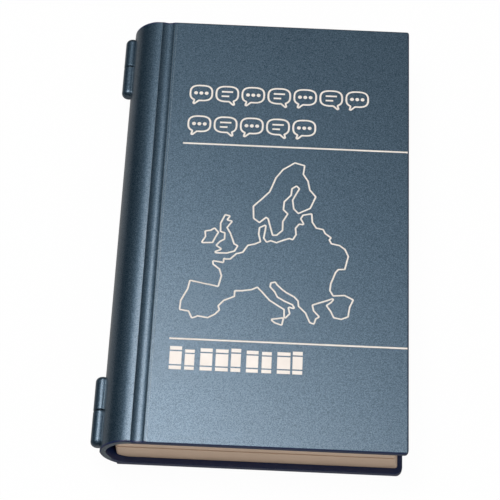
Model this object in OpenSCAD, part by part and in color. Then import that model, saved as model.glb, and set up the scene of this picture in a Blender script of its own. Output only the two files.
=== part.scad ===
// A pocket translator in the form of a closed book, in millimetres.
// The back of the spine is at X = 0 before the model is centred, the
// fore-edge looks along +X, the head along +Y, and the back cover lies on Z = 0.

/* [Covers] */
// Length of the covers, along the spine
cover_l = 140; // [138:1:160]
// Width of the covers, from the back of the spine to the fore-edge
cover_w = 84.8; // [84:0.1:100]
// Thickness of the closed book
book_t = 18; // [18:0.5:22]
// Thickness of the front board
front_board_t = 1.6; // [1.4:0.1:2]
// Thickness of the back board
back_board_t = 2; // [2:0.1:2.4]
// Wall of the rounded spine
spine_wall = 1.6; // [1.5:0.1:1.8]
// Rounding of the boards' long edges
edge_r = 0.45; // [0.2:0.05:0.6]
// Corner radius of the front board, seen from above
corner_r = 1.1; // [1:0.1:4]
// Corner radius of the back board, seen from above
back_corner_r = 2.2; // [1:0.1:4]
// How far the front board stands out over the edges of the back board
board_lip = 0.4; // [0.2:0.1:0.6]
// Distance from the back of the spine to the edge of the back board
back_board_x = 4.4; // [3.5:0.1:5]
// Rounding of the back board's edge beside the spine
heel_r = 0.8; // [0.5:0.05:1]
// Reach of the spine's shell over the back board, back from the spine's axis
spine_toe = 2; // [1.6:0.1:2.4]
// Gap between the two covers along the spine
seam_gap = 0.3; // [0.1:0.05:0.4]

/* [Binder's groove] */
// Distance from the crown of the spine to the middle of the groove
groove_offset = 1.35; // [0.5:0.05:2]
// Radius of the groove's hollow
groove_r = 2.12; // [1.8:0.02:3]
// Depth of the groove
groove_depth = 0.7; // [0.4:0.05:0.8]
// Width of the crease between the groove and the board
crease_w = 0.55; // [0.3:0.05:0.8]
// Depth of the crease
crease_depth = 0.3; // [0.2:0.05:0.5]

/* [Page block] */
// Distance from the back of the spine to the page block
block_setback = 4.15; // [3:0.05:4.2]
// Overhang of the boards at the fore-edge
fore_overhang = 1.85; // [1:0.05:3]
// Depth of the hollow along the page block's fore-edge
fore_hollow_depth = 1.25; // [0.8:0.05:1.3]
// Radius of that hollow
fore_hollow_r = 32; // [28:1:50]
// Overhang of the boards at the head and the tail
end_overhang = 2.1; // [1:0.1:3]
// Gap between the spine's shell and the page block
spine_clear = 0.3; // [0.2:0.05:0.5]
// Wall of the two case halves
case_wall = 1.4; // [1.2:0.1:1.6]
// Corner radius of the page block, seen from above
block_corner_r = 0.8; // [0.6:0.1:3]
// Gap between the base and the lid when it is closed
part_gap = 0.1; // [0.06:0.02:0.2]
// Width and height of the step along the parting line
part_step = 0.3; // [0.2:0.05:0.5]

/* [Hinges] */
// Distance from the back of the spine to the hinge axis
hinge_offset = 0.65; // [0.6:0.05:1]
// Radius of the hinge barrels
barrel_r = 2.1; // [2:0.05:2.3]
// Distance from the ends of the covers to the hinge barrels
barrel_inset = 1.7; // [1:0.1:3]
// Length of one hinge, both barrels together
barrel_l = 20.9; // [19:0.1:24]
// Gap between two barrels, along the axis
barrel_gap = 0.2; // [0.1:0.05:0.4]
// Rounding of the barrels' free ends
barrel_dome_r = 1.4; // [0.8:0.1:1.8]
// Rounding of the barrels' ends that face each other
barrel_edge_r = 0.35; // [0.1:0.05:0.5]
// Gap round a barrel in the other body's spine
barrel_clear = 0.3; // [0.2:0.05:0.35]
// Outer radius of the hollow hinge pins
pin_r = 1.35; // [1.3:0.05:1.45]
// Bore of the hollow hinge pins
pin_bore_r = 0.95; // [0.85:0.05:1]
// Gap between a pin and the barrel that turns on it
pin_clear = 0.05; // [0.03:0.01:0.1]
// Solid end of the lid's barrels
barrel_face_t = 1.2; // [1:0.1:2]
// Solid end of the base's barrels
barrel_end_t = 2.1; // [1.8:0.1:3]

/* [Keys] */
// Gap between the caps along a row
key_gap_y = 3; // [2.6:0.1:3.6]
// Gap between the caps of two rows
key_gap_x = 3.8; // [3:0.1:4.4]
// Corner radius of the key caps
key_corner_r = 1.3; // [0.8:0.1:2]
// Radius of the key caps' crown
key_crown_r = 16; // [14:1:30]
// How far the key tops lie below the rim of the case
key_recess = 0.25; // [0.15:0.05:0.3]
// Travel of a key
key_travel = 0.6; // [0.5:0.05:0.65]
// Gap between a key and the holes it passes
key_clear = 0.2; // [0.15:0.05:0.3]
// Width of the flange that holds a key under the deck
flange_w = 0.8; // [0.6:0.1:1]
// Thickness of that flange
flange_t = 0.4; // [0.3:0.05:0.5]
// Gap over and under the flange
flange_clear = 0.05; // [0.04:0.01:0.1]

/* [Key well] */
// Width of the case's rim at the head and the tail
rim_end_w = 4.5; // [4.3:0.1:8]
// Width of the case's rim beside the spine
rim_spine_w = 7; // [6.6:0.1:10]
// Width of the case's rim at the fore-edge, beside the hollow's deepest line
rim_fore_w = 5; // [4.8:0.1:8]
// Depth from the rim to the key panel
well_depth = 1.25; // [1.1:0.05:1.3]
// Thickness of the key panel
panel_t = 0.2; // [0.15:0.05:0.3]
// Thickness of the deck under the panel
deck_t = 0.9; // [0.8:0.1:1]
// Margin between the keys' field and the wall of the well along a row
well_margin_y = 1.4; // [1.2:0.1:1.6]
// Margin between the keys' field and the wall of the well across the rows
well_margin_x = 1; // [0.8:0.1:1.2]
// Corner radius of the well
well_corner_r = 2.5; // [1:0.5:4]

/* [Main board and keypad mat] */
// Thickness of the rubber mat between its domes
mat_t = 0.3; // [0.2:0.05:0.3]
// Margin of the mat inside the keys' field
mat_margin = 1; // [0.9:0.1:1.6]
// Foot radius of the mat's domes
dome_r = 2.2; // [1.5:0.1:3]
// Thickness of the main board
board_t = 0.6; // [0.5:0.05:0.6]
// Gap between the main board and the walls of the case
board_clear = 1.2; // [0.8:0.1:1.6]

/* [Battery bay] */
// Radius of a coin cell
cell_r = 10; // [10:0.5:10.5]
// Height of a coin cell
cell_h = 3.2; // [2.5:0.1:3.2]
// Gap round a cell
cell_clear = 0.15; // [0.1:0.05:0.25]
// Distance between the two cells
cell_gap = 1.2; // [1.1:0.1:2]
// Distance from the head end of the cover to the middle of the cells
cell_inset = 15.5; // [15.5:0.5:20]
// Wall of the battery bay
bay_wall = 1.5; // [1:0.1:2]
// Thickness of the battery door
door_t = 1.1; // [1:0.05:1.15]
// Overlap of the battery door beyond the cells, towards the spine and the fore-edge
door_overlap = 0.6; // [0.4:0.1:1.2]
// Overlap of the battery door beyond the cells, towards the tail
door_lip = 1.4; // [1:0.1:3]
// Gap round the battery door
door_clear = 0.1; // [0.05:0.05:0.2]
// Width of the door's runners
runner_w = 1; // [0.8:0.1:1.5]
// Thickness of the door's runners
runner_t = 0.6; // [0.5:0.05:0.7]
// Width of the cell contacts' side leaves
leaf_w = 4; // [3:0.5:6]
// Thickness of those leaves
leaf_t = 0.2; // [0.15:0.05:0.3]

/* [Display] */
// Length of the opening for the display, along the head to tail
view_l = 92; // [80:1:96]
// Width of the opening for the display
view_w = 40; // [36:1:44]
// Border of the window under the opening's edge
window_border = 3; // [2:0.5:4]
// Thickness of the window
window_t = 0.8; // [0.6:0.05:0.8]
// Depth of the window's face below the face of the lid
window_recess = 0.1; // [0.05:0.05:0.15]
// Gap round the window
window_clear = 0.1; // [0.05:0.05:0.2]
// Thickness of the lid's face
face_t = 1.5; // [1.3:0.1:1.7]
// Border of the display's glass behind the opening's edge
glass_border = 5; // [4:0.5:6]
// Thickness of the front glass
front_glass_t = 1.1; // [0.7:0.1:1.1]
// Thickness of the rear glass
rear_glass_t = 0.9; // [0.7:0.1:1.1]
// Width of the front glass's contact ledge
ledge_w = 5; // [4:0.5:6]
// Width of the contact strip
strip_w = 3; // [2:0.5:3.5]
// Height of the contact strip
strip_h = 1.6; // [1.4:0.1:2]
// Wall of the frame round the display's glass
frame_wall = 1.5; // [1:0.1:2]
// Thickness of the display board
lcd_board_t = 0.8; // [0.6:0.1:1]
// Length of the display board beyond the glass, at both ends
lcd_ear_l = 7; // [6:0.5:7]
// Width of the display board beyond the glass, on both sides
lcd_board_side = 2; // [1.6:0.1:3]

/* [Screws and bosses] */
// Radius of the case and lid screws
screw_r = 0.9; // [0.8:0.05:1]
// Head radius of the case and lid screws
head_r = 1.9; // [1.7:0.05:1.9]
// Head height of the case and lid screws
head_h = 0.9; // [0.7:0.05:0.9]
// Radius of the bosses for the case and lid screws
boss_r = 2.2; // [2:0.1:2.3]
// Gap round screw heads and shanks
screw_clear = 0.1; // [0.05:0.05:0.2]
// Length of the case screws' shanks
case_screw_l = 4.4; // [4:0.1:4.8]
// Length of the lid screws' shanks
lid_screw_l = 3.8; // [3:0.1:5]
// Depth of the case screws' heads below the back cover's face
head_recess = 0.4; // [0.2:0.1:0.5]
// Thickness of the lid's case under the lid screws' heads
lid_seat_t = 1; // [0.8:0.1:1.5]
// Distance from the middle to the back cover's screws beside the spine
spine_screw_y = 50; // [46:1:54]
// Radius of the board screws
small_screw_r = 0.7; // [0.6:0.05:0.8]
// Head radius of the board screws
small_head_r = 1.4; // [1.2:0.05:1.5]
// Head height of the board screws
small_head_h = 0.7; // [0.5:0.05:0.8]
// Distance from the battery bay to the board screws beside it
bay_to_screw = 5.75; // [4:0.25:8]
// Radius of the bosses for the board screws
small_boss_r = 1.6; // [1.4:0.1:1.8]
// Thickness of the rubber bumpers over the lid screws
bumper_t = 0.55; // [0.4:0.05:0.55]

/* [Hinge wires] */
// Radius of the lead from the main board to the display
wire_r = 0.6; // [0.5:0.05:0.6]
// Gap round the lead where it passes a wall
wire_clear = 0.2; // [0.15:0.05:0.25]

/* [Hidden] */
$fn = 64;

// Places that follow from the sizes above
half_t = book_t / 2;
spine_r = half_t;
shell_r = spine_r - spine_wall;
rim_z = half_t - part_gap / 2;
face_z = half_t + part_gap / 2;
front_board_z = book_t - front_board_t;
groove_x = spine_r + groove_offset;
groove_half_w = sqrt(pow(groove_r, 2) - pow(groove_r - groove_depth, 2));
crease_lap = 0.05;
crease_x = groove_x + groove_half_w - crease_lap;
cover_y = cover_l / 2;
back_y = cover_y - board_lip;
back_x1 = cover_w - board_lip;
block_x0 = block_setback;
block_x1 = cover_w - fore_overhang;
block_mid = (block_x0 + block_x1) / 2;
block_y = cover_y - end_overhang;
block_spine_r = shell_r - spine_clear;
fore_deep_x = block_x1 - fore_hollow_depth;
fore_hollow_z = back_board_t
    + sqrt(pow(fore_hollow_r, 2) - pow(fore_hollow_r - fore_hollow_depth, 2));

// The hinges: the outer barrel belongs to the base, the inner one to the lid
hinge_x = -hinge_offset;
barrel_y1 = cover_y - barrel_inset;
barrel_y0 = barrel_y1 - barrel_l;
barrel_mid = (barrel_y0 + barrel_y1) / 2;
wire_room = 2.8;
pin_y0 = barrel_y0 + barrel_face_t;
bore_y1 = barrel_y1 - barrel_end_t;
pin_y1 = bore_y1 - wire_room;

// The keys' stack, from the rim down to the main board
panel_z = rim_z - well_depth - panel_t;
deck_z = panel_z - deck_t;
flange_z = deck_z - flange_clear - flange_t;
dome_h = key_travel;
mat_z = flange_z - flange_clear - dome_h - mat_t;
board_z = mat_z - board_t;
key_top = rim_z - key_recess;

// The well inside the rim, and the field of five rows of ten places that it holds
key_columns = 10;
key_rows = 5;
well_x0 = block_x0 + rim_spine_w;
well_x1 = fore_deep_x - rim_fore_w;
well_x = (well_x0 + well_x1) / 2;
well_w = well_x1 - well_x0;
well_l = 2 * (block_y - rim_end_w);
field_l = well_l - 2 * well_margin_y;
field_w = well_w - 2 * well_margin_x;
key_pitch_y = field_l / key_columns;
key_pitch_x = field_w / key_rows;

// Keys that follow each other in a row: name, row, first place, places taken
function row_of(names, row, start, span) =
    [for (i = [0:len(names) - 1]) [names[i], row, start + i * span, span]];
keys = concat(
    row_of(["menu", "back", "language", "clear", "enter"], 0, 0, 2),
    row_of(["q", "w", "e", "r", "t", "y", "u", "i", "o", "p"], 1, 0, 1),
    row_of(["a", "s", "d", "f", "g", "h", "j", "k", "l"], 2, 0.5, 1),
    row_of(["z", "x", "c", "v", "b", "n", "m", "up"], 3, 1, 1),
    row_of(["space"], 4, 2, 4),
    row_of(["left", "down", "right"], 4, 7, 1)
);
function key_y(key) = (key[2] + key[3] / 2 - key_columns / 2) * key_pitch_y;
function key_x(key) = well_x + (key[1] - (key_rows - 1) / 2) * key_pitch_x;
function cap_size(key) = [key_pitch_x - key_gap_x, key[3] * key_pitch_y - key_gap_y];

// The battery bay at the head end of the back cover
cell_y = cover_y - cell_inset;
cell_xs = [for (s = [-1, 1]) block_mid + s * (cell_r + cell_gap / 2)];
cell_z = door_t + door_clear;
door_w = 4 * cell_r + cell_gap + 2 * door_overlap;
door_y0 = cell_y - cell_r - door_lip;
bay_w = 4 * cell_r + cell_gap + 2 * (cell_clear + bay_wall);
bay_y0 = cell_y - cell_r - cell_clear - bay_wall;
bay_y1 = block_y - case_wall - cell_clear;
runner_z = door_t - runner_t;
leaf_z = back_board_t + 0.4;

// Screw places: beside the spine the case's bosses stand between wall and key flanges
merge = 0.5;
boss_gap = 0.3;
boss_inset = case_wall + boss_r + 0.2;
fore_screw_x = fore_deep_x - boss_inset;
end_screw_y = block_y - boss_inset;
first_flange_x = well_x0 + well_margin_x + key_gap_x / 2 - flange_w;
case_screws_at = concat(
    [for (s = [-1, 1]) [first_flange_x - boss_gap - boss_r, s * spine_screw_y]],
    [for (s = [-1, 1]) [fore_screw_x, s * end_screw_y]]
);
lid_screws_at = [for (x = [spine_r + boss_r + boss_gap, fore_screw_x], s = [-1, 1])
    [x, s * end_screw_y]];
board_screw_y = block_y - case_wall - board_clear - small_boss_r;
board_screws_at = concat(
    [for (x = [-1, 1], s = [-1, 1]) [block_mid + x * (bay_w / 2 + bay_to_screw), s * board_screw_y]],
    [[block_x0 + case_wall + 2 * small_boss_r, 0], [fore_screw_x, 0]]
);
head_seat_z = head_recess + head_h;
lid_seat_z = face_z + bumper_t + head_h;
lid_boss_z = lid_seat_z + lid_seat_t;

// The display's stack, from the face of the lid up
window_z = face_z + window_recess;
glass_z = face_z + face_t;
rear_glass_z = glass_z + front_glass_t;
strip_z = rear_glass_z;
lcd_board_z = strip_z + strip_h;
glass_l = view_l + 2 * glass_border;
glass_w = view_w + 2 * glass_border;
lcd_board_l = glass_l + 2 * lcd_ear_l;
lcd_screw_inset = 3;
lcd_screws_at = [for (x = [-1, 1], y = [-1, 1])
    [block_mid + x * (glass_w / 2 - lcd_screw_inset), y * (lcd_board_l / 2 - lcd_screw_inset)]];

// The lead's route, through the hollow pin at the head end
wire_bend = 1;
wire_base_y = pin_y1 + wire_room / 2;
wire_lid_y = barrel_mid - wire_room;
wire_gap_x = (block_x0 + spine_wall) / 2;
wire_drop = 2.45;
wire_rise = 0.1;
wire_in_x = block_x0 + case_wall + 1.5 * wire_r;
wire_top_z = lcd_board_z + lcd_board_t + wire_r;
wire_end_x = block_mid - glass_w / 2;
wire_route = [
    [spine_r + wire_r, wire_base_y, mat_z + wire_r],
    [wire_in_x, wire_base_y, mat_z + wire_r + wire_rise],
    [wire_gap_x, wire_base_y, half_t - wire_drop],
    [hinge_x, wire_base_y, half_t],
    [hinge_x, wire_lid_y, half_t],
    [wire_gap_x, wire_lid_y, half_t + wire_drop],
    [wire_in_x, wire_lid_y, half_t + wire_drop + wire_r],
    [wire_end_x - 3 * wire_bend, wire_lid_y, wire_top_z],
    [wire_end_x + wire_bend, wire_lid_y, wire_top_z]
];

// The route with its corners rounded, and one ring of the lead round each point
function corner_of(i) =
    let (p = wire_route[i], a = wire_route[i - 1] - p, b = wire_route[i + 1] - p,
         from = p + a / norm(a) * wire_bend, to = p + b / norm(b) * wire_bend)
    [for (t = [0:0.25:1]) pow(1 - t, 2) * from + 2 * t * (1 - t) * p + pow(t, 2) * to];
wire_path = concat(
    [wire_route[0]],
    [for (i = [1:len(wire_route) - 2], p = corner_of(i)) p],
    [wire_route[len(wire_route) - 1]]
);
function wire_ring(i, sides) =
    let (ahead = wire_path[min(i + 1, len(wire_path) - 1)] - wire_path[max(i - 1, 0)],
         t = ahead / norm(ahead), side = cross(t, [0, 0, 1]), u = side / norm(side), v = cross(t, u))
    [for (k = [0:sides - 1])
        wire_path[i] + wire_r * (cos(360 * k / sides) * u + sin(360 * k / sides) * v)];

// The model is centred on its own box
frame_x = -(cover_w + hinge_x - barrel_r) / 2;

// ---- helpers ----

// Rectangle between two corners, with its own four corners rounded
module round_rect(low, high, r) {
    translate([low.x + r, low.y]) square([high.x - low.x - 2 * r, high.y - low.y]);
    translate([low.x, low.y + r]) square([high.x - low.x, high.y - low.y - 2 * r]);
    for (x = [low.x + r, high.x - r], y = [low.y + r, high.y - r])
        translate([x, y]) circle(r);
}

// Rounded rectangle of a given size round the origin
module round_plate(size, r) {
    round_rect(-size / 2, size / 2, r);
}

// An X-Z section drawn out along Y, from the middle both ways
module along_y(l) {
    rotate([90, 0, 0]) linear_extrude(l, center = true) children();
}

// A Y-Z section drawn out along X
module along_x(l) {
    rotate([90, 0, 90]) linear_extrude(l) children();
}

// Flat slab between two heights
module slab(z0, z1) {
    translate([0, 0, z0]) linear_extrude(z1 - z0) children();
}

// A child and its mirror image at the other end of the book
module both_ends() {
    children();
    mirror([0, 1, 0]) children();
}

// Rod along the hinge axis between two places
module axis_rod(r, y0, y1) {
    translate([hinge_x, y0, half_t]) rotate([-90, 0, 0]) cylinder(r = r, h = y1 - y0);
}

// Clear way for the lead along one leg of its route
module wire_way(leg, before, after) {
    d = wire_route[leg + 1] - wire_route[leg];
    u = d / norm(d);
    translate(wire_route[leg] - before * u) rotate([0, acos(u.z), atan2(u.y, u.x)])
        cylinder(r = wire_r + wire_clear, h = norm(d) + before + after);
}

// Pan head screw that points up, its seat at Z = 0, with a cross recess
module screw(r, l, cap_r, cap_h) {
    cylinder(r = r, h = l);
    difference() {
        translate([0, 0, -cap_h]) cylinder(r = cap_r, h = cap_h);
        for (a = [0, 90])
            rotate([0, 0, a]) translate([-cap_r * 0.65, -cap_r * 0.12, -cap_h - 1])
                cube([cap_r * 1.3, cap_r * 0.24, cap_h * 0.6 + 1]);
    }
}

// ---- covers ----

// Outline of a cover, seen from above
module cover_plan(x1, y1, r) {
    translate([-1, -y1]) square([x1 / 2, 2 * y1]);
    round_rect([x1 / 4, -y1], [x1, y1], r);
}

// Ring of the spine's shell
module spine_ring() {
    translate([spine_r, half_t]) difference() {
        circle(spine_r);
        circle(shell_r);
    }
}

// One hinge barrel between two places, its two ends rounded
module barrel(y0, y1, end_r0, end_r1) {
    l = y1 - y0;
    translate([hinge_x, y0, half_t]) rotate([-90, 0, 0]) rotate_extrude() intersection() {
        square([barrel_r, l]);
        union() {
            translate([0, end_r0]) square([barrel_r, l - end_r0 - end_r1]);
            square([barrel_r - end_r0, end_r0 + 1]);
            translate([barrel_r - end_r0, end_r0]) circle(end_r0);
            translate([0, l - end_r1 - 1]) square([barrel_r - end_r1, end_r1 + 1]);
            translate([barrel_r - end_r1, l - end_r1]) circle(end_r1);
        }
    }
}

// Section of the front cover: half of the spine, the groove and the board
module front_section() {
    difference() {
        union() {
            intersection() {
                spine_ring();
                translate([-1, half_t + seam_gap / 2]) square([spine_r + 1, book_t]);
            }
            translate([spine_r, front_board_z]) square([cover_w / 2, front_board_t]);
            round_rect([cover_w / 4, front_board_z], [cover_w, book_t], edge_r);
        }
        translate([groove_x, book_t - groove_depth + groove_r]) circle(groove_r);
        translate([crease_x, book_t - crease_depth]) square([crease_w, crease_depth + 1]);
    }
}

module front_cover() {
    color("#466078") difference() {
        union() {
            intersection() {
                along_y(cover_l) front_section();
                slab(0, book_t + 1) cover_plan(cover_w, cover_y, corner_r);
                along_x(cover_w) {
                    translate([-cover_y, 0]) square([cover_l, book_t - edge_r]);
                    round_rect([-cover_y, half_t], [cover_y, book_t], edge_r);
                }
            }
            both_ends()
                barrel(barrel_y0, barrel_mid - barrel_gap / 2, barrel_dome_r, barrel_edge_r);
            for (at = lid_screws_at)
                translate([at.x, at.y, lid_boss_z])
                    cylinder(r = boss_r, h = front_board_z + merge - lid_boss_z);
        }
        both_ends() {
            axis_rod(pin_r, pin_y0, barrel_mid);
            axis_rod(barrel_r + barrel_clear, barrel_mid - barrel_gap / 2, barrel_y1 + barrel_gap);
        }
        for (at = lid_screws_at)
            translate([at.x, at.y, lid_seat_z])
                cylinder(r = screw_r, h = lid_screw_l + screw_clear);
        wire_way(4, 0, 2);
    }
}

// Section of the back cover: half of the spine and the board
module back_section() {
    intersection() {
        spine_ring();
        square([spine_r - spine_toe, half_t - seam_gap / 2]);
    }
    round_rect([back_board_x, 0], [cover_w / 2, back_board_t], heel_r);
    round_rect([cover_w / 4, 0], [back_x1, back_board_t], edge_r);
}

// The back cover's outer form, without barrels, bay or holes
module back_board() {
    intersection() {
        along_y(2 * back_y) back_section();
        slab(-1, book_t) cover_plan(back_x1, back_y, back_corner_r);
        along_x(cover_w) {
            translate([-back_y, edge_r]) square([2 * back_y, book_t]);
            round_rect([-back_y, 0], [back_y, half_t], edge_r);
        }
    }
}

// Room for the battery door and its runners, or the door itself with no gap
module door_room(gap) {
    l = cover_y - door_y0 + 1;
    translate([block_mid - door_w / 2 - gap, door_y0 - gap, -1])
        cube([door_w + 2 * gap, l + gap, door_t + gap / 2 + 1]);
    translate([block_mid - door_w / 2 - runner_w - gap, door_y0 - gap, runner_z - gap / 2])
        cube([door_w + 2 * (runner_w + gap), l + gap, runner_t + gap]);
}

module back_cover() {
    color("#2b3150") difference() {
        union() {
            back_board();
            both_ends()
                barrel(barrel_mid + barrel_gap / 2, barrel_y1, barrel_edge_r, barrel_dome_r);
            translate([block_mid - bay_w / 2, bay_y0, back_board_t - merge])
                cube([bay_w, bay_y1 - bay_y0, cell_z + cell_h - back_board_t + merge]);
        }
        both_ends() {
            axis_rod(pin_r + pin_clear, barrel_mid, bore_y1);
            axis_rod(barrel_r + barrel_clear, barrel_y0 - barrel_gap, barrel_mid + barrel_gap / 2);
        }
        door_room(door_clear);
        for (x = cell_xs)
            translate([x, cell_y, 0]) {
                cylinder(r = cell_r + cell_clear, h = half_t);
                translate([-leaf_w / 2 - cell_clear, -cell_r - 1, leaf_z - cell_clear])
                    cube([leaf_w + 2 * cell_clear, cell_r, half_t]);
            }
        for (at = case_screws_at) translate([at.x, at.y, -1]) {
            cylinder(r = screw_r + screw_clear, h = back_board_t + 2);
            cylinder(r = head_r + 2 * screw_clear, h = head_seat_z + 1);
        }
        wire_way(2, 2, 0);
    }
}

module battery_door() {
    grips = 5;
    grip_pitch = 1.8;
    grip = [14, 0.8, 0.35];
    grip_inset = 6;
    color("#2b3150") difference() {
        union() {
            intersection() {
                back_board();
                door_room(0);
                translate([0, 0, -1]) cube([cover_w, cover_l, door_t + 1]);
            }
            intersection() {
                door_room(0);
                translate([0, door_y0, runner_z])
                    cube([cover_w, back_y - edge_r - door_y0, runner_t]);
            }
        }
        for (i = [0:grips - 1])
            translate([block_mid - grip.x / 2, cover_y - grip_inset - i * grip_pitch, -grip.z])
                cube([grip.x, grip.y, 2 * grip.z]);
    }
}

// ---- page block ----

// Outline of the page block, seen from above
module block_plan(inset) {
    round_rect([block_x0 + inset, inset - block_y], [block_x1 - inset, block_y - inset],
        block_corner_r);
}

// Section of the page block: rounded to follow the spine's shell, hollow at the fore-edge
module block_section(inset, z0, z1) {
    difference() {
        intersection() {
            translate([block_x0 + inset, z0]) square([block_x1 - block_x0 - 2 * inset, z1 - z0]);
            union() {
                translate([spine_r, half_t]) circle(block_spine_r - inset);
                translate([spine_r, 0]) square([cover_w, book_t]);
            }
        }
        translate([fore_deep_x + fore_hollow_r, fore_hollow_z]) circle(fore_hollow_r + inset);
    }
}

// A half of the page block between two heights, stepped in at the parting line
module block_half(z0, z1, step_z0, step_z1) {
    for (form = [[part_step, z0, z1], [0, step_z0, step_z1]])
        intersection() {
            along_y(cover_l) block_section(form[0], form[1], form[2]);
            slab(form[1], form[2]) block_plan(form[0]);
        }
}

// The hollow inside a case half
module block_hollow(z0, z1) {
    along_y(2 * (block_y - case_wall)) block_section(case_wall, z0, z1);
}

// Key holes, through the deck or the panel
module key_holes(z0, z1) {
    for (key = keys)
        translate([key_x(key), key_y(key), 0])
            slab(z0, z1) round_plate(cap_size(key) + 2 * key_clear * [1, 1], key_corner_r + key_clear);
}

module keyboard_case() {
    color("#c8b48c") difference() {
        union() {
            difference() {
                block_half(back_board_t, rim_z, back_board_t, rim_z - part_step);
                block_hollow(back_board_t - 1, deck_z);
            }
            intersection() {
                for (at = case_screws_at)
                    translate([at.x, at.y, back_board_t])
                        cylinder(r = boss_r, h = deck_z + merge - back_board_t);
                along_y(cover_l) block_section(0, back_board_t, deck_z + merge);
            }
            for (at = board_screws_at)
                translate([at.x, at.y, mat_z])
                    cylinder(r = small_boss_r, h = deck_z + merge - mat_z);
        }
        translate([well_x, 0, 0]) slab(panel_z, book_t) round_plate([well_w, well_l], well_corner_r);
        key_holes(deck_z - 1, panel_z + 1);
        for (at = case_screws_at)
            translate([at.x, at.y, 0])
                cylinder(r = screw_r, h = head_seat_z + case_screw_l + screw_clear);
        for (at = board_screws_at)
            translate([at.x, at.y, board_z])
                cylinder(r = small_screw_r, h = deck_z + 2 * screw_clear - board_z);
        wire_way(1, 0, 0.5);
    }
}

module key_panel() {
    gap = 0.1;
    color("#39414f") difference() {
        translate([well_x, 0, 0]) slab(panel_z, panel_z + panel_t)
            round_plate([well_w, well_l] - 2 * gap * [1, 1], well_corner_r - gap);
        key_holes(panel_z - 1, panel_z + 1);
    }
}

// One key: a crowned cap over a flange that stays under the deck
module key_shape(key) {
    cap = cap_size(key);
    color(key[1] == 0 ? "#7d93ad" : "#e6dfcf") translate([key_x(key), key_y(key), 0]) {
        slab(flange_z, flange_z + flange_t)
            round_plate(cap + 2 * flange_w * [1, 1], key_corner_r);
        intersection() {
            slab(flange_z + flange_t, key_top) round_plate(cap, key_corner_r);
            translate([0, 0, key_top - key_crown_r]) rotate([90, 0, 0])
                cylinder(r = key_crown_r, h = cap.y + 1, center = true, $fn = 180);
        }
    }
}

module keypad_mat() {
    dome_top_r = 1.32;
    color("#6f7378") {
        translate([well_x, 0, 0]) slab(mat_z, mat_z + mat_t)
            round_plate([field_w, field_l] - 2 * mat_margin * [1, 1], mat_margin);
        for (key = keys)
            translate([key_x(key), key_y(key), mat_z + mat_t])
                cylinder(r1 = dome_r, r2 = dome_top_r, h = dome_h, $fn = 24);
    }
}

// ---- electronics of the base ----

module main_board() {
    boss_room = boss_r + boss_gap;
    color("#2f6b4a") difference() {
        along_y(2 * (block_y - case_wall - board_clear))
            block_section(case_wall + board_clear / 2, board_z, mat_z);
        for (at = case_screws_at)
            translate([at.x, at.y, 0]) cylinder(r = boss_room, h = book_t);
        both_ends() slab(0, book_t) translate([fore_screw_x, end_screw_y]) {
            translate([0, -boss_room]) square(cover_w);
            translate([-boss_room, 0]) square(cover_w);
        }
        for (at = board_screws_at)
            translate([at.x, at.y, 0]) cylinder(r = small_screw_r + screw_clear, h = book_t);
    }
}

// Square package with legs on two sides, hung under the main board
module chip(at, size, legs) {
    stand = 0.2;
    leg_pitch = 1.27;
    leg = [1, 0.4, size.z / 2 + stand];
    translate([at.x, at.y, board_z]) {
        translate([-size.x / 2, -size.y / 2, -stand - size.z]) cube(size);
        for (i = [0:legs - 1], s = [-1, 1])
            translate([(s * (size.x + leg.x) - leg.x) / 2, (i - (legs - 1) / 2) * leg_pitch - leg.y / 2,
                -leg.z]) cube(leg);
    }
}

module logic_chips() {
    processor = [12, 18, 1.4];
    memory = [8, 12, 1.4];
    driver = [8, 8, 1.4];
    bead_r = 7;
    bead_h = 1.2;
    part = [1.6, 0.8, 0.8];
    parts = 5;
    color("#202225") {
        chip([block_mid + field_w / 5, -field_l / 5], processor, 12);
        chip([block_mid - field_w / 4, -field_l / 4], memory, 8);
        chip([block_mid - field_w / 4, field_l / 30], driver, 5);
        translate([block_mid + field_w / 5, field_l / 10, board_z - bead_h])
            cylinder(r = bead_r, h = bead_h);
        for (i = [0:parts - 1])
            translate([block_mid - part.x, (i - 2 * parts) * field_l / 25, board_z - part.z])
                cube(part);
    }
}

module coin_cells() {
    rim_h = 0.4;
    rim_w = 1.3;
    color("#c3c6c9") for (x = cell_xs) translate([x, cell_y, cell_z]) {
        cylinder(r = cell_r, h = cell_h - rim_h);
        cylinder(r = cell_r - rim_w, h = cell_h);
    }
}

module cell_contacts() {
    z = cell_z + cell_h;
    plate = [8, 12];
    leaf_gap = 0.05;
    color("#c9a44c") for (x = cell_xs) {
        translate([x - plate.x / 2, cell_y - plate.y / 2, z]) cube([plate.x, plate.y, board_z - z]);
        translate([x - leaf_w / 2, cell_y - cell_r - leaf_t - leaf_gap, leaf_z])
            cube([leaf_w, leaf_t, board_z - leaf_z]);
    }
}

module case_screws() {
    color("#8b8f94") for (at = case_screws_at)
        translate([at.x, at.y, head_seat_z]) screw(screw_r, case_screw_l, head_r, head_h);
}

module board_screws() {
    color("#8b8f94") for (at = board_screws_at)
        translate([at.x, at.y, board_z])
            screw(small_screw_r, deck_z - board_z, small_head_r, small_head_h);
}

// The lead from board to board: one tube along its rounded route
module hinge_wires() {
    sides = 10;
    rings = [for (i = [0:len(wire_path) - 1]) wire_ring(i, sides)];
    last = len(rings) - 1;
    color("#303236") polyhedron(
        points = [for (ring = rings, p = ring) p],
        faces = concat(
            [[for (k = [0:sides - 1]) k]],
            [for (i = [0:last - 1], k = [0:sides - 1])
                [i * sides + k, (i + 1) * sides + k,
                 (i + 1) * sides + (k + 1) % sides, i * sides + (k + 1) % sides]],
            [[for (k = [sides - 1:-1:0]) last * sides + k]]
        )
    );
}

// ---- lid ----

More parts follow.
